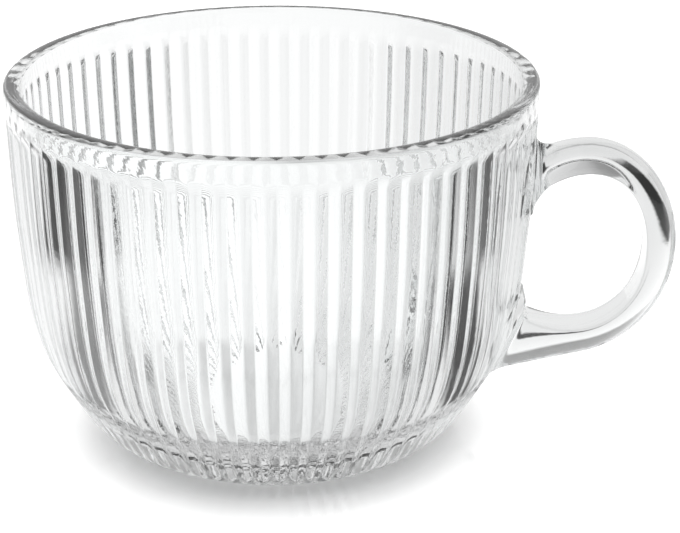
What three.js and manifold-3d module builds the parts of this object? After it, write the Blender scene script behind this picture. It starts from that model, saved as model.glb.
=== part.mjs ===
// A wide pressed-glass mug: a bowl with upright flutes all round, and a C-shaped handle fused to its side.
// Units are millimetres and +Z is up. The origin is the centre of the foot, and the handle points to +X.

import * as THREE from 'three';
import { mergeVertices } from 'three/addons/utils/BufferGeometryUtils.js';
import Module from 'manifold-3d';

// Outside of the bowl: the radius of its ridges, and the height of each place
const footRadius = 31.5;
const heelRadius = 39;
const heelHeight = 4.4;
const bellyRadius = 45.3;
const bellyHeight = 13;
const shoulderRadius = 51.3;
const shoulderHeight = 25;
const wallRadius = 54.5;
const wallHeight = 48;
const rimRadius = 56;
const bowlHeight = 80;

// Wall, lip and floor of the bowl. A fullness of 2 rounds like an ellipse, and a higher one is squarer
const wallThickness = 3.7;
const lipRise = 1.2;
const lipFullness = 2.6;
const floorThickness = 7;
const floorRadius = 24;
const floorRise = 1.2;

// Flutes: V-shaped grooves that run out under a plain band at the rim and above the foot
const fluteCount = 72;
const fluteDepth = 1.05;
const rimBand = 4.4;
const rimRunOut = 3.6;
const footRunOut = 1.6;

// Handle: flat on the finger side, round outside, thicker low down. What stands out is counted from the rim
const handleTop = 66.1;
const handleBottom = 16.4;
const sideHeight = 42;
const handleStandOut = 30.4;
const crownStandOut = 11;
const holeBottomStandOut = 7.5;
const undersideStandOut = 6;
const handleThickness = 6.8;
const lowerThickness = 7.4;
const handleWidth = 9.6;
const handleEdge = 0.5;
const sectionFullness = 1.85;
const fingerFullness = 2.15;
const outerFullness = 2;
const undersideTurn = THREE.MathUtils.degToRad(78);

// Roots of the handle: how far each side rises or falls on its way to the wall
const crownFall = 2.8;
const upperFlare = 5.4;
const lowerFlare = 3.7;
const undersideFall = 4.6;
const rootFillet = 4;
const sideFillet = 2.6;
const rootDepth = 2;
const seatClearance = 0.3;

// Fineness of the facets
const bodyRows = 10;
const bodyCrowding = 1.5;
const runOutRows = 3;
const lipRows = 8;
const insideRows = 12;
const rootRings = 8;
const rootCrowding = 1.6;
const loopRings = 8;
const crownSides = 8;
const edgeSides = 3;
const mergeTolerance = 1e-4;

const wasm = await Module();
wasm.setup();

const clearGlass = { color: 0xeef2f1, roughness: 0.04, metalness: 0, transparent: true, opacity: 0.4 };

const point = (x, y) => new THREE.Vector2(x, y);

// A sine or cosine drawn out to a fullness, for rounded outlines.
const rounded = (wave, fullness) => Math.sign(wave) * Math.abs(wave) ** (2 / fullness);

function smoothCurve(points) {
  const places = points.map((place) => new THREE.Vector3(place.x, place.y, 0));
  return new THREE.CatmullRomCurve3(places, false, 'centripetal');
}

// The ridges' outline, radius against height, from the edge of the foot to where the lip starts to turn in.
const outlinePoints = [
  point(footRadius, 0),
  point(heelRadius, heelHeight),
  point(bellyRadius, bellyHeight),
  point(shoulderRadius, shoulderHeight),
  point(wallRadius, wallHeight),
  point(rimRadius, bowlHeight - lipRise),
];
const outline = smoothCurve(outlinePoints);

// Where the outline is at one share of its way up, and which way its outside faces there.
function outlineAtShare(share) {
  const place = outline.getPoint(share);
  const along = outline.getTangent(share);
  return { place: point(place.x, place.y), normal: point(along.y, -along.x) };
}

// The same at one height, found by halving.
function outlineAt(height) {
  let low = 0;
  let high = 1;
  for (let step = 0; step < 40; step += 1) {
    const middle = (low + high) / 2;
    if (outline.getPoint(middle).y < height) low = middle;
    else high = middle;
  }
  return outlineAtShare(high);
}

const wallAt = (height) => outlineAt(height).place.x;

// A flute is as deep as its pitch allows, and runs out to nothing at its two ends.
const flutesEnd = bowlHeight - rimBand;
const rimRunOutStart = flutesEnd - rimRunOut;

function fluteDepthAt(place) {
  const fromFoot = THREE.MathUtils.smoothstep(place.y, 0, footRunOut);
  const fromRim = 1 - THREE.MathUtils.smoothstep(place.y, rimRunOutStart, flutesEnd);
  return fluteDepth * (place.x / rimRadius) * fromFoot * fromRim;
}

// Heights of the rows of corners up the outside, closer together where the flutes run out and on the belly.
function outsideHeights() {
  const heights = [];
  for (let k = 0; k < runOutRows; k += 1) heights.push(footRunOut * k / runOutRows);
  for (let k = 0; k < bodyRows; k += 1) {
    heights.push(THREE.MathUtils.lerp(footRunOut, rimRunOutStart, (k / bodyRows) ** bodyCrowding));
  }
  for (let k = 0; k <= runOutRows; k += 1) heights.push(rimRunOutStart + rimRunOut * k / runOutRows);
  return heights;
}

// The inside runs parallel to the outside down to the belly, and then rounds into a dished floor.
// The curve goes on past the middle, so that it lies flat there, and only the half up to the middle is used.
function insidePoints() {
  const farSide = point(-floorRadius, floorThickness + floorRise);
  const points = [farSide, point(0, floorThickness), point(floorRadius, floorThickness + floorRise)];
  const lastSpan = outlinePoints.length - 1;
  for (let k = 2; k <= lastSpan; k += 1) {
    const { place, normal } = outlineAtShare(k / lastSpan);
    points.push(place.addScaledVector(normal, -wallThickness));
  }
  points[points.length - 1].set(rimRadius - wallThickness, bowlHeight - lipRise);
  const curve = smoothCurve(points.reverse());
  const middleShare = (points.length - 2) / (points.length - 1);
  const rows = [];
  for (let k = 1; k < insideRows; k += 1) rows.push(curve.getPoint(middleShare * k / insideRows));
  return [...rows, point(0, floorThickness)];
}

// The bowl's section, from the middle of the foot round over the lip to the middle of the floor.
function bowlSection() {
  const plainRow = (x, y) => ({ place: point(x, y), normal: point(0, 0), depth: 0 });
  const rows = [plainRow(0, 0)];
  for (const height of outsideHeights()) {
    const row = outlineAt(height);
    rows.push({ ...row, depth: fluteDepthAt(row.place) });
  }
  for (let k = 0; k <= lipRows; k += 1) {
    const turn = Math.PI * k / lipRows;
    const across = wallThickness / 2 * (rounded(Math.cos(turn), lipFullness) - 1);
    const rise = lipRise * (rounded(Math.sin(turn), lipFullness) - 1);
    rows.push(plainRow(rimRadius + across, bowlHeight + rise));
  }
  for (const place of insidePoints()) rows.push(plainRow(place.x, place.y));
  return rows;
}

// A closed body: shared corners are merged, and the empty triangles on a lathe's axis are dropped.
function closed(geometry) {
  geometry.deleteAttribute('normal');
  geometry.deleteAttribute('uv');
  const merged = mergeVertices(geometry, mergeTolerance);
  const corners = Array.from(merged.index.array);
  const kept = [];
  for (let k = 0; k < corners.length; k += 3) {
    const [a, b, c] = corners.slice(k, k + 3);
    if (a !== b && b !== c && c !== a) kept.push(a, b, c);
  }
  merged.setIndex(kept);
  return merged;
}

// Every second column of the lathe is the bottom of a flute, and sinks along the normal by the flute's depth.
function makeBowl() {
  const rows = bowlSection();
  const lathe = new THREE.LatheGeometry(rows.map((row) => row.place), 2 * fluteCount);
  const corners = lathe.attributes.position;
  for (let k = 0; k < corners.count; k += 1) {
    const column = Math.floor(k / rows.length);
    const { place, normal, depth } = rows[k % rows.length];
    if (column % 2 === 0 && depth > 0) {
      const sunk = place.clone().addScaledVector(normal, -depth);
      const turn = Math.PI * column / fluteCount;
      corners.setXYZ(k, sunk.x * Math.sin(turn), sunk.y, sunk.x * Math.cos(turn));
    }
  }
  lathe.rotateX(Math.PI / 2);
  return closed(lathe);
}

// A stretch of the handle's loop, an ellipse that is drawn out to a fullness.
class LoopArc extends THREE.Curve {
  constructor({ middle, across, up, fullness, from, to }) {
    super();
    Object.assign(this, { middle, across, up, fullness, from, to });
  }

  getPoint(share, target = new THREE.Vector2()) {
    const turn = THREE.MathUtils.lerp(this.from, this.to, share);
    const out = rounded(Math.max(Math.cos(turn), 0), this.fullness);
    const rise = rounded(Math.sin(turn), this.fullness);
    return target.set(this.middle.x + this.across * out, this.middle.y + this.up * rise);
  }
}

// The loop from its crest out to its side, and from its side down to its lowest place.
function upperArc(crest, reach, fullness) {
  const middle = point(crest.x, sideHeight);
  const size = { across: reach - crest.x, up: crest.y - sideHeight };
  return new LoopArc({ middle, ...size, fullness, from: Math.PI / 2, to: 0 });
}

function lowerArc(lowest, reach, fullness, turn) {
  const middle = point(lowest.x, sideHeight);
  const size = { across: reach - lowest.x, up: sideHeight - lowest.y };
  return new LoopArc({ middle, ...size, fullness, from: 0, to: -turn });
}

// A parabola from the wall of the bowl, and from a little inside it, that lies flat where it joins the loop.
function rootCurve(join, rise) {
  const wall = wallAt(join.y + rise);
  const length = join.x - wall;
  const end = point(wall - rootDepth, join.y + rise * ((length + rootDepth) / length) ** 2);
  return new THREE.QuadraticBezierCurve(end, point((join.x + end.x) / 2, join.y), join);
}

function reversed(curve) {
  return new THREE.QuadraticBezierCurve(curve.v2, curve.v1, curve.v0);
}

// The finger side of the handle in its own plane, from its upper root round to its lower root.
function fingerRail() {
  const reach = rimRadius + handleStandOut - handleThickness;
  const crest = point(rimRadius + crownStandOut, handleTop - handleThickness);
  const lowest = point(rimRadius + holeBottomStandOut, handleBottom + lowerThickness);
  return [
    rootCurve(crest, -upperFlare),
    upperArc(crest, reach, fingerFullness),
    lowerArc(lowest, reach, fingerFullness, Math.PI / 2),
    reversed(rootCurve(lowest, lowerFlare)),
  ];
}

// The outer side of the handle. Its underside leaves the loop on a slope and runs straight on to the wall.
function outerRail() {
  const reach = rimRadius + handleStandOut;
  const crest = point(rimRadius + crownStandOut, handleTop);
  const lowest = point(rimRadius + undersideStandOut, handleBottom);
  const underside = lowerArc(lowest, reach, outerFullness, undersideTurn);
  const leave = underside.getPoint(1);
  const heading = underside.getTangent(1);
  const slope = heading.y / heading.x;
  const rootHeight = handleBottom - undersideFall;
  const end = point(wallAt(rootHeight) - rootDepth, rootHeight - rootDepth * slope);
  const half = (leave.x - end.x) / 2;
  const control = point(leave.x - half, leave.y - half * slope);
  return [
    rootCurve(crest, -crownFall),
    upperArc(crest, reach, outerFullness),
    underside,
    new THREE.QuadraticBezierCurve(leave, control, end),
  ];
}

// Points along a rail. They crowd towards the wall, where the fillets are.
function railPoints([upperRoot, upperLoop, lowerLoop, lowerRoot]) {
  const points = [];
  for (let k = 0; k < rootRings; k += 1) points.push(upperRoot.getPoint((k / rootRings) ** rootCrowding));
  for (let k = 0; k < loopRings; k += 1) points.push(upperLoop.getPoint(k / loopRings));
  for (let k = 0; k < loopRings; k += 1) points.push(lowerLoop.getPoint(k / loopRings));
  for (let k = rootRings; k >= 0; k -= 1) {
    points.push(lowerRoot.getPoint(1 - (k / rootRings) ** rootCrowding));
  }
  return points;
}

// The handle's section as shares of its thickness and half-width: a flat finger side and a round outer side.
function handleSection(thickness, width, edge) {
  const edgeUp = edge / thickness;
  const edgeIn = 2 * edge / width;
  const edgeTurn = (k) => Math.PI / 2 * k / edgeSides;
  const edgePoint = (turn, side) => {
    return point(edgeUp * (1 - Math.cos(turn)), side * (1 - edgeIn * (1 - Math.sin(turn))));
  };
  const section = [];
  for (let k = 0; k < edgeSides; k += 1) section.push(edgePoint(edgeTurn(k), 1));
  for (let k = 0; k <= crownSides; k += 1) {
    const turn = Math.PI * k / crownSides;
    const up = edgeUp + (1 - edgeUp) * rounded(Math.sin(turn), sectionFullness);
    section.push(point(up, rounded(Math.cos(turn), sectionFullness)));
  }
  for (let k = edgeSides - 1; k >= 0; k -= 1) section.push(edgePoint(edgeTurn(k), -1));
  return section;
}

// How far a fillet stands out at one distance from the wall.
function filletAt(distance, radius) {
  const inwards = radius - THREE.MathUtils.clamp(distance, 0, radius);
  return radius - Math.sqrt(radius ** 2 - inwards ** 2);
}

// One ring of the handle between two places on its rails. Near the wall the fillets spread and round it.
function handleRing(finger, outer) {
  const middle = finger.clone().lerp(outer, 0.5);
  const distance = middle.x - wallAt(middle.y);
  const across = outer.clone().sub(finger).setLength(filletAt(distance, rootFillet));
  const from = finger.clone().sub(across);
  const to = outer.clone().add(across);
  const widening = filletAt(distance, sideFillet);
  const width = handleWidth + 2 * widening;
  return handleSection(from.distanceTo(to), width, handleEdge + widening).map((share) => {
    const place = from.clone().lerp(to, share.x);
    return new THREE.Vector3(place.x, share.y * width / 2, place.y);
  });
}

// The handle is lofted ring by ring between its two rails, and closed at both ends.
function loftHandle() {
  const outer = railPoints(outerRail());
  const rings = railPoints(fingerRail()).map((place, k) => handleRing(place, outer[k]));
  const sides = rings[0].length;
  const triangles = [];
  for (let k = 0; k + 1 < rings.length; k += 1) {
    for (let side = 0; side < sides; side += 1) {
      const a = k * sides + side;
      const b = k * sides + (side + 1) % sides;
      triangles.push(a, b, a + sides, b, b + sides, a + sides);
    }
  }
  const last = (rings.length - 1) * sides;
  for (let side = 1; side + 1 < sides; side += 1) {
    triangles.push(0, side + 1, side, last, last + side, last + side + 1);
  }
  const geometry = new THREE.BufferGeometry().setFromPoints(rings.flat());
  geometry.setIndex(triangles);
  return geometry;
}

// The space that the handle leaves to the bowl: the ridges' outline with the clearance of the seats.
function bowlEnvelope() {
  const section = [point(0, -rootDepth), point(footRadius, -rootDepth)];
  for (const height of outsideHeights()) {
    const { place, normal } = outlineAt(height);
    section.push(place.addScaledVector(normal, seatClearance));
  }
  section.push(point(rimRadius + seatClearance, bowlHeight), point(0, bowlHeight));
  const lathe = new THREE.LatheGeometry(section, 2 * fluteCount);
  lathe.rotateX(Math.PI / 2);
  return closed(lathe);
}

function solid(geometry) {
  const vertProperties = new Float32Array(geometry.attributes.position.array);
  const triVerts = new Uint32Array(geometry.index.array);
  return new wasm.Manifold(new wasm.Mesh({ numProp: 3, vertProperties, triVerts }));
}

function makeHandle() {
  const cut = solid(loftHandle()).subtract(solid(bowlEnvelope())).getMesh();
  const geometry = new THREE.BufferGeometry();
  geometry.setAttribute('position', new THREE.BufferAttribute(cut.vertProperties, 3));
  geometry.setIndex(new THREE.BufferAttribute(cut.triVerts, 1));
  return geometry;
}

function glassPiece(name, geometry) {
  const piece = new THREE.Mesh(geometry, new THREE.MeshStandardMaterial(clearGlass));
  piece.name = name;
  return piece;
}

const mug = new THREE.Group();
mug.add(glassPiece('fluted_bowl', makeBowl()));
mug.add(glassPiece('handle', makeHandle()));

export default mug;
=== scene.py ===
import bisect
import math

import bmesh
import bpy
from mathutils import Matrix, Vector


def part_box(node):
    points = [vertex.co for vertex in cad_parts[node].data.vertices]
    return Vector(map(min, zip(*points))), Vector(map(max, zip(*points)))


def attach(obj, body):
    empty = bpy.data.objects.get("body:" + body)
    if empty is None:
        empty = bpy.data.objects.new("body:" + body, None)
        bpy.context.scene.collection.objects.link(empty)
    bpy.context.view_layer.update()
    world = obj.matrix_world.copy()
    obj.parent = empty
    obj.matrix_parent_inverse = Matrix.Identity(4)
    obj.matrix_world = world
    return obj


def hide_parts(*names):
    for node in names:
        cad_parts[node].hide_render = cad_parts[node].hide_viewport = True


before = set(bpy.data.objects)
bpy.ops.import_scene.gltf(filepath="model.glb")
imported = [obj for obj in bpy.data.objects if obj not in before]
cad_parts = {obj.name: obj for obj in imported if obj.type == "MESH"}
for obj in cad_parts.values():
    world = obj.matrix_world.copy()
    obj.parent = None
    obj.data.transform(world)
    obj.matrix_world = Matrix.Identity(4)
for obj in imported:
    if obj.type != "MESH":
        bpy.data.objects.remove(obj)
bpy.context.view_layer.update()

# Sizes are in millimetres, while Blender's own unit is the metre
MM = 0.001
bowl_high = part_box("fluted_bowl")[1]
handle_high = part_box("handle")[1]

# The bowl's outline along its ridges: radius and height of places from the foot to below the lip
RIM_RADIUS = bowl_high.x / MM
BOWL_HEIGHT = bowl_high.z / MM
FOOT = (31.5, 0)
HEEL = (39, 4.4)
BELLY = (45.3, 13)
SHOULDER = (51.3, 25)
WALL = (54.5, 48)

# Wall, lip and floor of the bowl. A fullness of 2 rounds like an ellipse, and a higher one is squarer
WALL_THICKNESS = 3.7
LIP_RISE = 1.2
LIP_FULLNESS = 2.6
FLOOR_THICKNESS = 7
FLOOR_RADIUS = 24
FLOOR_RISE = 1.2

# Flutes. The columns are shares of the way from a flute's bottom to its ridge
FLUTE_COUNT = 72
FLUTE_DEPTH = 1.05
FLUTE_ROUNDING = 0.12
FLUTE_COLUMNS = (0, 0.12, 0.35, 0.65, 0.9, 1)
RIM_BAND = 4.4
RIM_RUN_OUT = 3.6
FOOT_RUN_OUT = 1.6

# The handle's loop and section
HANDLE_TOP = 66.1
HANDLE_BOTTOM = 16.4
SIDE_HEIGHT = 42
HANDLE_REACH = handle_high.x / MM
CROWN_X = RIM_RADIUS + 11
HOLE_BOTTOM_X = RIM_RADIUS + 7.5
UNDERSIDE_X = RIM_RADIUS + 6
HANDLE_THICKNESS = 6.8
LOWER_THICKNESS = 7.4
HANDLE_WIDTH = 9.6
HANDLE_EDGE = 0.5
SECTION_FULLNESS = 1.85
FINGER_FULLNESS = 2.15
OUTER_FULLNESS = 2
UNDERSIDE_TURN = math.radians(78)

# The handle's roots: how far they fall and flare, their fillets, and how they sit in the wall
CROWN_FALL = 2.8
UPPER_FLARE = 5.4
LOWER_FLARE = 3.7
UNDERSIDE_FALL = 4.6
ROOT_FILLET = 4
SIDE_FILLET = 2.6
SEAT_SINK = 0.15
SEAT_MARGIN = 1.2
SEAT_FADE = (0.85, 1.05)
ROOT_SPANS = (
    (HANDLE_BOTTOM - UNDERSIDE_FALL, HANDLE_BOTTOM + LOWER_THICKNESS + LOWER_FLARE),
    (HANDLE_TOP - HANDLE_THICKNESS - UPPER_FLARE, HANDLE_TOP - CROWN_FALL),
)

# How finely the surfaces are divided. A crowding above 1 draws the rows together at one end
OUTLINE_STEPS = 40
FOOT_ROWS = 8
BODY_ROWS = 30
BODY_CROWDING = 1.4
RUN_OUT_ROWS = 12
BAND_ROWS = 3
LIP_STEPS = 18
INSIDE_STEPS = 10
ROOT_STEPS = 24
ROOT_CROWDING = 1.7
LOOP_STEPS = 28
EDGE_STEPS = 5
CROWN_STEPS = 24
FLAT_STEPS = 6
CAP_SHARES = (1, 0.8, 0.6, 0.4, 0.2)
MERGE_DISTANCE = 1e-4
HAIR = 0.01

# The faint unevenness that the mould leaves on the glass: the width of its waves, their height, and the
# least and the most roughness of its polish
MOULD_GRAIN = 1.2
MOULD_GRAIN_HEIGHT = 0.008
POLISH = (0.01, 0.03)

# The camera, with its focal length in pixels of a picture that is so many pixels wide, and how far it sees
PICTURE_WIDTH = 680
FOCAL_PIXELS = 2251.7
SENSOR_WIDTH = 36
CAMERA_PITCH = math.radians(21.7)
CAMERA_TARGET = Vector((14.15, 0, 36.7))
CAMERA_DISTANCE = 486.5
CAMERA_SIGHT = 20000

# The table. A hair of air under the foot keeps the glass from looking wet. The table adds some light of its
# own, which sets in between two distances from the middle, and it is a little lighter through the glass
TABLE_HALF = 6000
FOOT_GAP = 0.05
TABLE_GLOW = 0.45
TABLE_GLOW_FROM = (34, 50)
TABLE_ROUGHNESS = 0.03
THROUGH_GLASS = 1.1
WHITE = "#FFFFFF"

# Stops of greys go by the way round from behind the mug in degrees, positive to the right.
# White paper on the table as it shows through the glass, with less light on the right
PAPER = ((-180, 0.6), (-110, 0.6), (-96, 0.7), (-84, 0.9), (-72, 1), (-24, 1), (0, 0.93), (24, 0.82),
         (48, 0.7), (62, 0.68), (84, 0.75), (105, 0.6), (180, 0.6))
# The same paper in light that has also been mirrored inside the glass
PAPER_TURNED = ((-180, 0.5), (-140, 0.65), (-110, 0.78), (-60, 0.88), (0, 0.75), (28, 0.65), (60, 0.78),
                (110, 0.76), (134, 0.65), (150, 0.5), (180, 0.45))
# Painted shade on the paper under the mug, in stops of grey from its left to its right, the distances
# between which it fades out, and the painted shade of the foot on it in light that has been mirrored inside
# the glass
UNDER_MUG = (30, 38)
PAINTED_SHADE_UNDER_MUG = ((0, 1), (0.2, 0.97), (0.36, 0.88), (0.5, 0.78), (0.62, 0.6), (0.78, 0.64), (1, 0.8))
FOOT_SHADE = "#909090"

# Dark cards painted on the table beside the mug, close to it and farther out, which only light through the
# glass shows, and those that show only in light that has been mirrored many times inside the glass. Close
# to the mug on the right the dark part is painted shadow of the handle. They begin and change between two
# distances
NEAR_CARDS_AND_HANDLE_SHADOW = ((-116, 1), (-109, 0.25), (-92, 0.3), (-82, 1), (81, 1), (87, 0.02), (103, 0.02), (110, 1))
CARDS_FAR = ((-106, 1), (-101, 0.1), (-88, 0.08), (-83, 0), (-72, 0), (-64, 1), (66, 1), (74, 0.06),
             (84, 0.12), (96, 0.6), (108, 1), (114, 0.05), (140, 0.08), (148, 1))
CARDS_OFTEN = ((-106, 1), (-100, 0.02), (-78, 0.02), (-72, 1), (66, 1), (74, 0.02), (99, 0.02), (105, 1))
CARDS_FROM = (42, 50)
CARDS_CHANGE = (120, 150)

# The mug's shadow behind its handle: how far out it ends straight behind and at a turn to the right, two
# places on its straight side, the width of its soft edge, where it begins, and how long the last stretch
# of the light is that shows it
SHADOW_END = (71, 138)
SHADOW_TURN = 42
SHADOW_SIDE = ((55, 32), (78, 100))
SHADOW_EDGE = 6
SHADOW_START = ((8, 0), (16, 1))
SHADOW_STRETCH = (80, 87)
SHADOW_GREY = "#303030"

# The room: a soft box overhead, by the rise of the way to it, and greys by the way round for light that is
# mirrored on the glass, comes through it, or is mirrored inside it as well. White paper stands behind the
# table up to a low rise
OVERHEAD = ((0, 0.1), (0.6, 0.3), (0.85, 1.6), (1, 2.2))
ROOM_MIRRORED = ((-180, 0.5), (-88, 0.6), (-76, 0.05), (-61, 0.05), (-53, 1), (43, 1), (49, 0.07),
                 (57, 0.1), (66, 0.6), (100, 0.6), (110, 0.08), (180, 0.1))
ROOM_THROUGH = ((-180, 0.8), (-40, 1), (-30, 0.8), (-20, 0.5), (-8, 0.36), (4, 0.32), (30, 0.5), (180, 0.8))
ROOM_TURNED = ((-180, 0.8), (-96, 0.75), (-48, 0.85), (-24, 0.8), (-8, 0.65), (6, 0.5), (14, 0.32),
               (28, 0.25), (40, 0.75), (60, 1), (150, 0.95), (180, 0.8))
SKYLINE = 0.06
SKYLINE_PAPER = "#F4F4F4"

# What light has met on its way: fewer matt surfaces than the first number, fewer faces of glass than the
# second if it came through one wall only, and more mirrorings than the third if they are many
NO_MATT_SURFACE = 0.5
ONE_WALL = 2.5
MANY_MIRRORINGS = 2.5

# How often light may be mirrored inside the glass, and how often it may meet a surface in all
MIRRORINGS = 9
MEETINGS = 32


def srgb(hex_colour):
    """An sRGB hex value as linear red, green, blue and alpha."""
    parts = [int(hex_colour[k:k + 2], 16) / 255 for k in (1, 3, 5)]
    linear = [c / 12.92 if c <= 0.04045 else ((c + 0.055) / 1.055) ** 2.4 for c in parts]
    return (*linear, 1)


def smoothstep(value, low, high):
    share = min(max((value - low) / (high - low), 0), 1)
    return share * share * (3 - 2 * share)


def rounded(wave, fullness):
    """A sine or cosine drawn out to a fullness: 2 rounds like an ellipse, and a higher one is squarer."""
    return math.copysign(abs(wave) ** (2 / fullness), wave)


def smooth_curve(points, steps):
    """Points along a centripetal Catmull-Rom curve through a few places, with some steps in each span."""
    places = [Vector(p) for p in points]
    places = [2 * places[0] - places[1], *places, 2 * places[-1] - places[-2]]
    curve = []
    for a, b, c, d in zip(places, places[1:], places[2:], places[3:]):
        ta = 0
        tb = ta + (b - a).length ** 0.5
        tc = tb + (c - b).length ** 0.5
        td = tc + (d - c).length ** 0.5
        for k in range(steps):
            t = tb + (tc - tb) * k / steps
            ab = a.lerp(b, (t - ta) / (tb - ta))
            bc = b.lerp(c, (t - tb) / (tc - tb))
            cd = c.lerp(d, (t - tc) / (td - tc))
            abc = ab.lerp(bc, (t - ta) / (tc - ta))
            bcd = bc.lerp(cd, (t - tb) / (td - tb))
            curve.append(abc.lerp(bcd, (t - tb) / (tc - tb)))
    return [*curve, places[-2]]


LIP_START = (RIM_RADIUS, BOWL_HEIGHT - LIP_RISE)
OUTLINE = smooth_curve([FOOT, HEEL, BELLY, SHOULDER, WALL, LIP_START], OUTLINE_STEPS)
OUTLINE_HEIGHTS = [place.y for place in OUTLINE]


def outline_at(height):
    """The place of the ridges at one height, and the way that the outside faces there."""
    above = min(max(bisect.bisect_left(OUTLINE_HEIGHTS, height), 1), len(OUTLINE) - 1)
    low, high = OUTLINE[above - 1], OUTLINE[above]
    along = (high - low).normalized()
    share = (height - low.y) / (high.y - low.y)
    return low.lerp(high, share), Vector((along.y, -along.x))


def outside_rows():
    """Heights of the rows of corners up the outside, close together where the flutes run out."""
    flutes_end = BOWL_HEIGHT - RIM_BAND
    run_out_start = flutes_end - RIM_RUN_OUT
    body = run_out_start - FOOT_RUN_OUT
    rows = [FOOT_RUN_OUT * k / FOOT_ROWS for k in range(FOOT_ROWS)]
    rows += [FOOT_RUN_OUT + body * (k / BODY_ROWS) ** BODY_CROWDING for k in range(BODY_ROWS)]
    rows += [run_out_start + RIM_RUN_OUT * k / RUN_OUT_ROWS for k in range(RUN_OUT_ROWS)]
    rows += [flutes_end + (RIM_BAND - LIP_RISE) * k / BAND_ROWS for k in range(BAND_ROWS + 1)]
    return rows


def flute_shape(from_bottom):
    """The share of a flute's depth, for a share of the way from its bottom, 0, to the ridge, 1."""
    climb = math.hypot(from_bottom, FLUTE_ROUNDING) - FLUTE_ROUNDING
    return 1 - climb / (math.hypot(1, FLUTE_ROUNDING) - FLUTE_ROUNDING)


def flute_depth(radius, height):
    flutes_end = BOWL_HEIGHT - RIM_BAND
    from_foot = smoothstep(height, 0, FOOT_RUN_OUT)
    from_rim = 1 - smoothstep(height, flutes_end - RIM_RUN_OUT, flutes_end)
    return FLUTE_DEPTH * radius / RIM_RADIUS * from_foot * from_rim


def root_cover(angle, height):
    """1 where a root of the handle covers the wall, so that no flute runs under it, and 0 away from it."""
    cover = 0
    for low, high in ROOT_SPANS:
        half_high = (high - low) / 2 + ROOT_FILLET + SEAT_MARGIN
        half_wide = HANDLE_WIDTH / 2 + SIDE_FILLET + SEAT_MARGIN
        up = (height - (low + high) / 2) / half_high
        side = angle * RIM_RADIUS / half_wide
        cover = max(cover, 1 - smoothstep(math.hypot(up, side), *SEAT_FADE))
    return cover


def finish_piece(shape, name, material):
    """Turns a bmesh in millimetres into a smooth piece in metres that rides on the mug."""
    bmesh.ops.remove_doubles(shape, verts=shape.verts, dist=MERGE_DISTANCE)
    bmesh.ops.recalc_face_normals(shape, faces=shape.faces)
    bmesh.ops.scale(shape, vec=(MM, MM, MM), verts=shape.verts)
    for face in shape.faces:
        face.smooth = True
    mesh = bpy.data.meshes.new(name)
    shape.to_mesh(mesh)
    shape.free()
    piece = bpy.data.objects.new(name, mesh)
    bpy.context.scene.collection.objects.link(piece)
    mesh.materials.append(material)
    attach(piece, "root")
    return piece


def bowl_section():
    """The bowl's section from the middle of the foot, up and over the lip, and down to the inner floor."""
    lip_middle = Vector((RIM_RADIUS - WALL_THICKNESS / 2, BOWL_HEIGHT - LIP_RISE))
    section = [Vector((0, 0)), Vector((FOOT[0] / 2, 0))]
    section += [outline_at(height)[0] for height in outside_rows()]
    for k in range(1, LIP_STEPS):
        turn = math.pi * k / LIP_STEPS
        across = rounded(math.cos(turn), LIP_FULLNESS)
        rise = rounded(math.sin(turn), LIP_FULLNESS)
        section.append(lip_middle + Vector((WALL_THICKNESS / 2 * across, LIP_RISE * rise)))
    inside = [Vector((RIM_RADIUS - WALL_THICKNESS, BOWL_HEIGHT - LIP_RISE))]
    for place in (WALL, SHOULDER, BELLY):
        ridge, normal = outline_at(place[1])
        inside.append(ridge - WALL_THICKNESS * normal)
    floor_edge = FLOOR_THICKNESS + FLOOR_RISE
    inside.append(Vector((FLOOR_RADIUS, floor_edge)))
    inside.append(Vector((0, FLOOR_THICKNESS)))
    inside.append(Vector((-FLOOR_RADIUS, floor_edge)))
    return section + smooth_curve(inside, INSIDE_STEPS)[:-INSIDE_STEPS]


def make_bowl(material):
    """Spins the section round, then moves its columns to the flutes' bottoms, sides and ridges."""
    half_steps = len(FLUTE_COLUMNS) - 1
    shape = bmesh.new()
    corners = [shape.verts.new((place.x, 0, place.y)) for place in bowl_section()]
    for a, b in zip(corners, corners[1:]):
        shape.edges.new((a, b))
    bmesh.ops.spin(shape, geom=[*shape.verts, *shape.edges], cent=(0, 0, 0), axis=(0, 0, 1),
                   angle=math.tau, steps=FLUTE_COUNT * 2 * half_steps, use_merge=True, use_duplicate=False)
    bmesh.ops.remove_doubles(shape, verts=shape.verts, dist=MERGE_DISTANCE)
    for corner in shape.verts:
        radius = math.hypot(corner.co.x, corner.co.y)
        if radius < HAIR:
            continue
        column = round(math.atan2(corner.co.y, corner.co.x) * FLUTE_COUNT * half_steps / math.pi)
        flute, step = divmod(column + half_steps, 2 * half_steps)
        from_bottom = FLUTE_COLUMNS[abs(step - half_steps)]
        angle = (flute + math.copysign(from_bottom, step - half_steps) / 2) * math.tau / FLUTE_COUNT
        place = Vector((radius, corner.co.z))
        if FOOT[0] <= radius and place.y <= BOWL_HEIGHT - RIM_BAND:
            ridge, normal = outline_at(place.y)
            if radius > ridge.x - HAIR:
                turned = math.remainder(angle, math.tau)
                sunk = flute_depth(radius, place.y) * flute_shape(from_bottom)
                place = ridge - sunk * (1 - root_cover(turned, place.y)) * normal
        corner.co = (place.x * math.cos(angle), place.x * math.sin(angle), place.y)
    return finish_piece(shape, "fluted_bowl_glass", material)


def loop_arc(middle, across, up, fullness, start, end):
    """Places round one part of the handle's loop, without the last one."""
    places = []
    for k in range(LOOP_STEPS):
        turn = start + (end - start) * k / LOOP_STEPS
        out = rounded(max(math.cos(turn), 0), fullness)
        rise = rounded(math.sin(turn), fullness)
        places.append(Vector((middle[0] + across * out, middle[1] + up * rise)))
    return places


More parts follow.
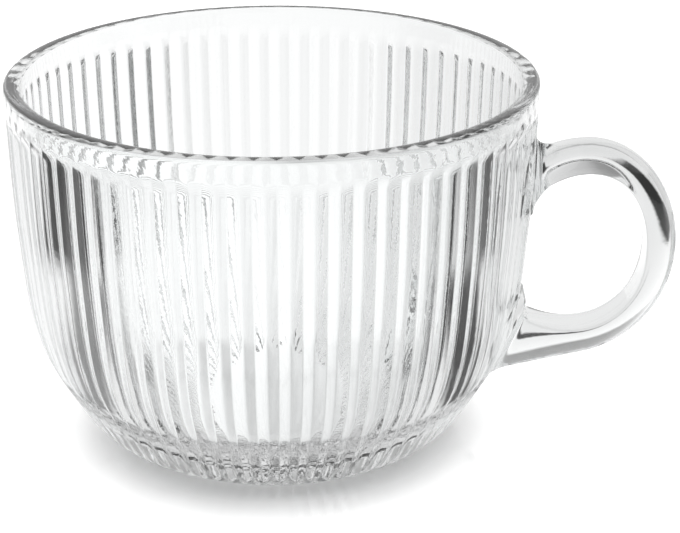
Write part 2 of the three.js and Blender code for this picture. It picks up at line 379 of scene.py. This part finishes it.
def root_arc(join, rise):
    """Places along a parabola from the wall of the bowl to where it lies flat and joins the loop."""
    wall = outline_at(join.y + rise)[0].x
    length = join.x - wall
    places = []
    for k in range(ROOT_STEPS):
        x = wall + length * (k / ROOT_STEPS) ** ROOT_CROWDING
        places.append(Vector((x, join.y + rise * ((join.x - x) / length) ** 2)))
    return places


def finger_rail():
    """Places along the middle of the finger side, from the upper root to the lower one."""
    side = HANDLE_REACH - HANDLE_THICKNESS
    crest = Vector((CROWN_X, HANDLE_TOP - HANDLE_THICKNESS))
    lowest = Vector((HOLE_BOTTOM_X, HANDLE_BOTTOM + LOWER_THICKNESS))
    upper = ((crest.x, SIDE_HEIGHT), side - crest.x, crest.y - SIDE_HEIGHT)
    lower = ((lowest.x, SIDE_HEIGHT), side - lowest.x, SIDE_HEIGHT - lowest.y)
    return [
        *root_arc(crest, -UPPER_FLARE),
        *loop_arc(*upper, FINGER_FULLNESS, math.pi / 2, 0),
        *loop_arc(*lower, FINGER_FULLNESS, 0, -math.pi / 2),
        lowest,
        *reversed(root_arc(lowest, LOWER_FLARE)),
    ]


def outer_rail():
    """Places along the middle of the outer side, which runs almost straight to the lower root."""
    crest = Vector((CROWN_X, HANDLE_TOP))
    upper = ((crest.x, SIDE_HEIGHT), HANDLE_REACH - crest.x, crest.y - SIDE_HEIGHT)
    across, up = HANDLE_REACH - UNDERSIDE_X, SIDE_HEIGHT - HANDLE_BOTTOM
    leave_x = UNDERSIDE_X + across * math.cos(UNDERSIDE_TURN)
    leave = Vector((leave_x, SIDE_HEIGHT - up * math.sin(UNDERSIDE_TURN)))
    slope = up / across / math.tan(UNDERSIDE_TURN)
    root_height = HANDLE_BOTTOM - UNDERSIDE_FALL
    end = Vector((outline_at(root_height)[0].x, root_height))
    half = (leave.x - end.x) / 2
    control = Vector((leave.x - half, leave.y - half * slope))
    straight = []
    for k in range(ROOT_STEPS + 1):
        t = 1 - (1 - k / ROOT_STEPS) ** ROOT_CROWDING
        straight.append(leave.lerp(control, t).lerp(control.lerp(end, t), t))
    return [
        *root_arc(crest, -CROWN_FALL),
        *loop_arc(*upper, OUTER_FULLNESS, math.pi / 2, 0),
        *loop_arc((UNDERSIDE_X, SIDE_HEIGHT), across, up, OUTER_FULLNESS, 0, -UNDERSIDE_TURN),
        *straight,
    ]


def handle_section(thickness, width, edge):
    """The section as shares of thickness and half-width: a flat finger side, round edges and a crown."""
    edge_up = edge / thickness
    edge_in = 2 * edge / width
    corner = []
    for k in range(EDGE_STEPS):
        turn = math.pi / 2 * k / EDGE_STEPS
        corner.append((edge_up * (1 - math.cos(turn)), 1 - edge_in * (1 - math.sin(turn))))
    crown = []
    for k in range(CROWN_STEPS + 1):
        turn = math.pi * k / CROWN_STEPS
        up = edge_up + (1 - edge_up) * rounded(math.sin(turn), SECTION_FULLNESS)
        crown.append((up, rounded(math.cos(turn), SECTION_FULLNESS)))
    flat = [(0, (1 - edge_in) * (2 * k / FLAT_STEPS - 1)) for k in range(1, FLAT_STEPS)]
    return [*flat, *corner, *crown, *((up, -side) for up, side in reversed(corner))]


def fillet(distance, radius):
    """How far a fillet stands out at one distance from the wall."""
    inwards = radius - min(max(distance, 0), radius)
    return radius - math.sqrt(radius ** 2 - inwards ** 2)


def on_wall(place):
    """The place on the wall, a little way in, that lies level with a place at the end of the handle."""
    radius = outline_at(place.z)[0].x - SEAT_SINK
    return Vector((math.sqrt(radius ** 2 - place.y ** 2), place.y, place.z))


def handle_rings():
    """Rings of places from the upper root to the lower one, with each end closed by rings on the wall."""
    rings = []
    for finger, outer in zip(finger_rail(), outer_rail()):
        middle = finger.lerp(outer, 0.5)
        distance = middle.x - outline_at(middle.y)[0].x
        across = (outer - finger).normalized() * fillet(distance, ROOT_FILLET)
        low, high = finger - across, outer + across
        widening = fillet(distance, SIDE_FILLET)
        width = HANDLE_WIDTH + 2 * widening
        ring = []
        for up, side in handle_section((high - low).length, width, HANDLE_EDGE + widening):
            place = low.lerp(high, up)
            ring.append(Vector((place.x, side * width / 2, place.y)))
        rings.append(ring)
    ends = []
    for ring in (rings[0], rings[-1]):
        middle = sum(ring, Vector()) / len(ring)
        ends.append([[on_wall(middle.lerp(place, share)) for place in ring] for share in CAP_SHARES])
    return [*reversed(ends[0]), *rings[1:-1], *ends[1]]


def make_handle(material):
    """Extrudes the handle ring by ring from its upper root to its lower one."""
    shape = bmesh.new()
    rings = handle_rings()
    corners = [shape.verts.new(place) for place in rings[0]]
    edges = [shape.edges.new((a, b)) for a, b in zip(corners, corners[1:] + corners[:1])]
    shape.faces.new(corners)
    for ring in rings[1:]:
        made = bmesh.ops.extrude_edge_only(shape, edges=edges)["geom"]
        edges = [e for e in made if isinstance(e, bmesh.types.BMEdge)]
        corners = [v for v in made if isinstance(v, bmesh.types.BMVert)]
        for corner, place in zip(corners, ring):
            corner.co = place
    shape.faces.new(corners)
    return finish_piece(shape, "handle_glass", material)


# Settings that many nodes share
SMOOTH = {"interpolation_type": "SMOOTHSTEP"}
TIMES = {"operation": "MULTIPLY"}
BLEND = {"data_type": "RGBA"}
DARKEN = {"data_type": "RGBA", "blend_type": "MULTIPLY"}


def add_node(tree, kind, settings=None, inputs=None, stops=()):
    """Adds a node with its settings, its inputs or links and a ramp's stops, and returns its outputs."""
    node = tree.nodes.new(kind)
    for key, value in (settings or {}).items():
        setattr(node, key, value)
    for key, value in (inputs or {}).items():
        if isinstance(value, bpy.types.NodeSocket):
            tree.links.new(value, node.inputs[key])
        else:
            node.inputs[key].default_value = value
    for k, (place, grey) in enumerate(stops):
        marks = node.color_ramp.elements
        mark = marks[k] if k < len(marks) else marks.new(place)
        mark.position = place
        mark.color = (grey, grey, grey, 1)
    return node.outputs


def new_material(name):
    material = bpy.data.materials.new(name)
    material.use_nodes = True
    material.node_tree.nodes.clear()
    return material, material.node_tree


def pressed_glass():
    """Pressed soda-lime glass: clear and fire-polished, faintly uneven where the mould touched it."""
    material, tree = new_material("pressed_soda_lime_glass")
    place = add_node(tree, "ShaderNodeTexCoord")["Object"]
    waves = add_node(tree, "ShaderNodeTexNoise", inputs={
        "Vector": place, "Scale": 1 / (MOULD_GRAIN * MM), "Detail": 2.0})["Fac"]
    bump = add_node(tree, "ShaderNodeBump", inputs={
        "Height": waves, "Strength": 1.0, "Distance": MOULD_GRAIN_HEIGHT * MM})["Normal"]
    polish = add_node(tree, "ShaderNodeMapRange", inputs={
        "Value": waves, "To Min": POLISH[0], "To Max": POLISH[1]})["Result"]
    shader = add_node(tree, "ShaderNodeBsdfPrincipled", inputs={
        "Base Color": srgb("#FDFEFE"), "Roughness": polish, "IOR": 1.51, "Transmission Weight": 1.0,
        "Normal": bump})["BSDF"]
    add_node(tree, "ShaderNodeOutputMaterial", inputs={"Surface": shader})
    return material


def round_stops(stops):
    """Stops by the way round, in degrees, as places on a ramp between 0 and 1."""
    return [(degrees / 360 + 0.5, grey) for degrees, grey in stops]


def way_round(tree, place):
    """The way round from behind the mug to a place, positive to the right, as a place on a ramp."""
    parts = add_node(tree, "ShaderNodeSeparateXYZ", inputs={"Vector": place})
    turn = add_node(tree, "ShaderNodeMath", {"operation": "ARCTAN2"}, {
        0: parts["X"], 1: parts["Y"]})["Value"]
    return add_node(tree, "ShaderNodeMath", {"operation": "MULTIPLY_ADD"}, {
        0: turn, 1: 1 / math.tau, 2: 0.5})["Value"]


def light_kinds(tree):
    """Kinds of light, each 1 or 0: seen with no matt surface between, come through glass, mirrored,
    mirrored inside the glass, mirrored often, or come through one wall only. The stretch is how long
    the last part of its way is, in metres."""
    path = add_node(tree, "ShaderNodeLightPath")
    seen = add_node(tree, "ShaderNodeMath", {"operation": "LESS_THAN"}, {
        0: path["Diffuse Depth"], 1: NO_MATT_SURFACE})["Value"]
    through = add_node(tree, "ShaderNodeMath", {"operation": "MINIMUM"}, {
        0: path["Transmission Depth"], 1: seen})["Value"]
    mirrored = add_node(tree, "ShaderNodeMath", {"operation": "MINIMUM"}, {
        0: path["Glossy Depth"], 1: seen})["Value"]
    inside = add_node(tree, "ShaderNodeMath", TIMES, {0: through, 1: mirrored})["Value"]
    often = add_node(tree, "ShaderNodeMath", {"operation": "GREATER_THAN"}, {
        0: path["Glossy Depth"], 1: MANY_MIRRORINGS})["Value"]
    few = add_node(tree, "ShaderNodeMath", {"operation": "LESS_THAN"}, {
        0: path["Transmission Depth"], 1: ONE_WALL})["Value"]
    once = add_node(tree, "ShaderNodeMath", TIMES, {0: through, 1: few})["Value"]
    one_wall = add_node(tree, "ShaderNodeMath", {"operation": "SUBTRACT", "use_clamp": True}, {
        0: once, 1: mirrored})["Value"]
    return {"seen": seen, "through": through, "mirrored": mirrored, "inside": inside, "often": often,
            "one_wall": one_wall, "stretch": path["Ray Length"]}


def handle_shadow(tree, parts, away, way, kinds):
    """How much of the mug's shadow behind its handle lies at a place on the table, from 0 to 1."""
    farthest = add_node(tree, "ShaderNodeMapRange", inputs={
        "Value": way, "From Min": 0.5, "From Max": 0.5 + SHADOW_TURN / 360,
        "To Min": SHADOW_END[0], "To Max": SHADOW_END[1]})["Result"]
    short = add_node(tree, "ShaderNodeMath", {"operation": "SUBTRACT"}, {0: farthest, 1: away})["Value"]
    shadow = add_node(tree, "ShaderNodeMapRange", SMOOTH, {
        "Value": short, "From Min": -SHADOW_EDGE, "From Max": SHADOW_EDGE})["Result"]
    begun = add_node(tree, "ShaderNodeValToRGB", inputs={"Fac": way},
                     stops=round_stops(SHADOW_START))["Color"]
    (near_x, near_y), (far_x, far_y) = SHADOW_SIDE
    slope = (far_x - near_x) / (far_y - near_y)
    side = add_node(tree, "ShaderNodeMath", {"operation": "MULTIPLY_ADD"}, {
        0: parts["Y"], 1: slope, 2: near_x - slope * near_y})["Value"]
    inwards = add_node(tree, "ShaderNodeMath", {"operation": "SUBTRACT"}, {0: side, 1: parts["X"]})["Value"]
    covered = add_node(tree, "ShaderNodeMapRange", SMOOTH, {
        "Value": inwards, "From Min": -SHADOW_EDGE / 2, "From Max": SHADOW_EDGE / 2})["Result"]
    reached = add_node(tree, "ShaderNodeMapRange", SMOOTH, {
        "Value": kinds["stretch"],
        "From Min": SHADOW_STRETCH[0] * MM, "From Max": SHADOW_STRETCH[1] * MM})["Result"]
    for share in (begun, covered, kinds["one_wall"], reached):
        shadow = add_node(tree, "ShaderNodeMath", TIMES, {0: shadow, 1: share})["Value"]
    return shadow


def cards_and_handle_shadow(tree, away, way, often):
    """The greys of the painted dark cards on both sides of the mug, with the painted shadow of the handle
    close on the right, and white between them.
    """
    # painted dark cards, and close on the right the painted shadow of the handle
    near = add_node(tree, "ShaderNodeValToRGB", inputs={"Fac": way}, stops=round_stops(NEAR_CARDS_AND_HANDLE_SHADOW))["Color"]
    far = add_node(tree, "ShaderNodeValToRGB", inputs={"Fac": way}, stops=round_stops(CARDS_FAR))["Color"]
    many = add_node(tree, "ShaderNodeValToRGB", inputs={"Fac": way},
                    stops=round_stops(CARDS_OFTEN))["Color"]
    farther = add_node(tree, "ShaderNodeMapRange", SMOOTH, {
        "Value": away, "From Min": CARDS_CHANGE[0], "From Max": CARDS_CHANGE[1]})["Result"]
    painted_cards_and_shadow = add_node(tree, "ShaderNodeMix", BLEND, {"Factor": farther, 6: near, 7: far})[2]
    often_far = add_node(tree, "ShaderNodeMath", TIMES, {0: farther, 1: often})["Value"]
    return add_node(tree, "ShaderNodeMix", DARKEN, {"Factor": often_far, 6: painted_cards_and_shadow, 7: many})[2]


def table_through_glass(tree, place, kinds):
    """The table's painted light and shade in light through the glass, by the place on it in millimetres."""
    way = way_round(tree, place)
    away = add_node(tree, "ShaderNodeVectorMath", {"operation": "LENGTH"}, {0: place})["Value"]
    parts = add_node(tree, "ShaderNodeSeparateXYZ", inputs={"Vector": place})
    paper = add_node(tree, "ShaderNodeValToRGB", inputs={"Fac": way}, stops=round_stops(PAPER))["Color"]
    turned = add_node(tree, "ShaderNodeValToRGB", inputs={"Fac": way},
                      stops=round_stops(PAPER_TURNED))["Color"]
    across = add_node(tree, "ShaderNodeMapRange", inputs={
        "Value": parts["X"], "From Min": -UNDER_MUG[0], "From Max": UNDER_MUG[0]})["Result"]
    # painted shade on the table under the foot, darkest a little right of the middle
    below = add_node(tree, "ShaderNodeValToRGB", inputs={"Fac": across}, stops=PAINTED_SHADE_UNDER_MUG)["Color"]
    under = add_node(tree, "ShaderNodeMapRange", SMOOTH, {
        "Value": away, "From Min": UNDER_MUG[1], "From Max": UNDER_MUG[0]})["Result"]
    grey = add_node(tree, "ShaderNodeMix", BLEND, {"Factor": under, 6: paper, 7: below})[2]
    shadow = handle_shadow(tree, parts, away, way, kinds)
    grey = add_node(tree, "ShaderNodeMix", BLEND, {"Factor": shadow, 6: grey, 7: srgb(SHADOW_GREY)})[2]
    grey = add_node(tree, "ShaderNodeMix", BLEND, {"Factor": kinds["inside"], 6: grey, 7: turned})[2]
    shade = add_node(tree, "ShaderNodeMath", TIMES, {0: kinds["inside"], 1: under})["Value"]
    grey = add_node(tree, "ShaderNodeMix", DARKEN, {"Factor": shade, 6: grey, 7: srgb(FOOT_SHADE)})[2]
    beyond = add_node(tree, "ShaderNodeMapRange", SMOOTH, {
        "Value": away, "From Min": CARDS_FROM[0], "From Max": CARDS_FROM[1]})["Result"]
    beyond = add_node(tree, "ShaderNodeMath", {"operation": "SUBTRACT", "use_clamp": True}, {
        0: beyond, 1: kinds["one_wall"]})["Value"]
    # painted dark cards and the painted shadow of the handle on the table
    painted_cards_and_shadow = cards_and_handle_shadow(tree, away, way, kinds["often"])
    return add_node(tree, "ShaderNodeMix", DARKEN, {"Factor": beyond, 6: grey, 7: painted_cards_and_shadow})[2]


def white_acrylic():
    """White acrylic: a glossy table top that mirrors the foot faintly and is white beside the shadow."""
    material, tree = new_material("white_acrylic_table")
    metres = add_node(tree, "ShaderNodeTexCoord")["Object"]
    place = add_node(tree, "ShaderNodeVectorMath", {"operation": "SCALE"}, {
        0: metres, "Scale": 1 / MM})["Vector"]
    away = add_node(tree, "ShaderNodeVectorMath", {"operation": "LENGTH"}, {0: place})["Value"]
    kinds = light_kinds(tree)
    glow = add_node(tree, "ShaderNodeMapRange", SMOOTH, {
        "Value": away, "From Min": TABLE_GLOW_FROM[0], "From Max": TABLE_GLOW_FROM[1],
        "To Min": 0.0, "To Max": TABLE_GLOW})["Result"]
    glow = add_node(tree, "ShaderNodeMath", TIMES, {0: kinds["seen"], 1: glow})["Value"]
    table = add_node(tree, "ShaderNodeBsdfPrincipled", inputs={
        "Base Color": srgb(WHITE), "Roughness": TABLE_ROUGHNESS, "IOR": 1.6,
        "Emission Color": srgb(WHITE), "Emission Strength": glow})["BSDF"]
    lit = add_node(tree, "ShaderNodeEmission", inputs={
        "Color": table_through_glass(tree, place, kinds), "Strength": THROUGH_GLASS})["Emission"]
    shader = add_node(tree, "ShaderNodeMixShader", inputs={0: kinds["through"], 1: table, 2: lit})["Shader"]
    add_node(tree, "ShaderNodeOutputMaterial", inputs={"Surface": shader})
    return material


def make_floor():
    shape = bmesh.new()
    bmesh.ops.create_grid(shape, x_segments=1, y_segments=1, size=TABLE_HALF * MM)
    bmesh.ops.translate(shape, vec=(0, 0, -FOOT_GAP * MM), verts=shape.verts)
    mesh = bpy.data.meshes.new("floor")
    shape.to_mesh(mesh)
    shape.free()
    floor = bpy.data.objects.new("floor", mesh)
    bpy.context.scene.collection.objects.link(floor)
    mesh.materials.append(white_acrylic())


def make_world():
    """A white studio that lights the table from overhead, with greys of its own as the glass shows it."""
    world = bpy.data.worlds.new("studio")
    bpy.context.scene.world = world
    world.use_nodes = True
    tree = world.node_tree
    tree.nodes.clear()
    place = add_node(tree, "ShaderNodeTexCoord")["Generated"]
    way = way_round(tree, place)
    rise = add_node(tree, "ShaderNodeSeparateXYZ", inputs={"Vector": place})["Z"]
    kinds = light_kinds(tree)
    colour = add_node(tree, "ShaderNodeValToRGB", inputs={"Fac": rise}, stops=OVERHEAD)["Color"]
    colour = add_node(tree, "ShaderNodeMix", BLEND, {"Factor": kinds["seen"], 6: colour, 7: srgb(WHITE)})[2]
    for kind, stops in (("mirrored", ROOM_MIRRORED), ("through", ROOM_THROUGH), ("inside", ROOM_TURNED)):
        grey = add_node(tree, "ShaderNodeValToRGB", inputs={"Fac": way}, stops=round_stops(stops))["Color"]
        colour = add_node(tree, "ShaderNodeMix", BLEND, {"Factor": kinds[kind], 6: colour, 7: grey})[2]
    low = add_node(tree, "ShaderNodeMapRange", inputs={
        "Value": rise, "From Min": SKYLINE, "From Max": 0.0})["Result"]
    low = add_node(tree, "ShaderNodeMath", TIMES, {0: low, 1: kinds["through"]})["Value"]
    colour = add_node(tree, "ShaderNodeMix", BLEND, {"Factor": low, 6: colour, 7: srgb(SKYLINE_PAPER)})[2]
    background = add_node(tree, "ShaderNodeBackground", inputs={
        "Color": colour, "Strength": 1.0})["Background"]
    add_node(tree, "ShaderNodeOutputWorld", inputs={"Surface": background})


def make_camera():
    data = bpy.data.cameras.new("camera")
    data.sensor_width = SENSOR_WIDTH
    data.lens = FOCAL_PIXELS / PICTURE_WIDTH * SENSOR_WIDTH
    data.clip_end = CAMERA_SIGHT * MM
    camera = bpy.data.objects.new("camera", data)
    back = Vector((0, -math.cos(CAMERA_PITCH), math.sin(CAMERA_PITCH)))
    camera.location = (CAMERA_TARGET + CAMERA_DISTANCE * back) * MM
    camera.rotation_euler = (math.pi / 2 - CAMERA_PITCH, 0, 0)
    bpy.context.scene.collection.objects.link(camera)
    bpy.context.scene.camera = camera


bowl = make_bowl(pressed_glass())
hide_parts("fluted_bowl")
handle = make_handle(pressed_glass())
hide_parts("handle")
make_floor()
make_world()
make_camera()
scene = bpy.context.scene
scene.view_settings.view_transform = "Standard"
scene.cycles.max_bounces = MEETINGS
scene.cycles.transmission_bounces = MEETINGS
scene.cycles.glossy_bounces = MIRRORINGS
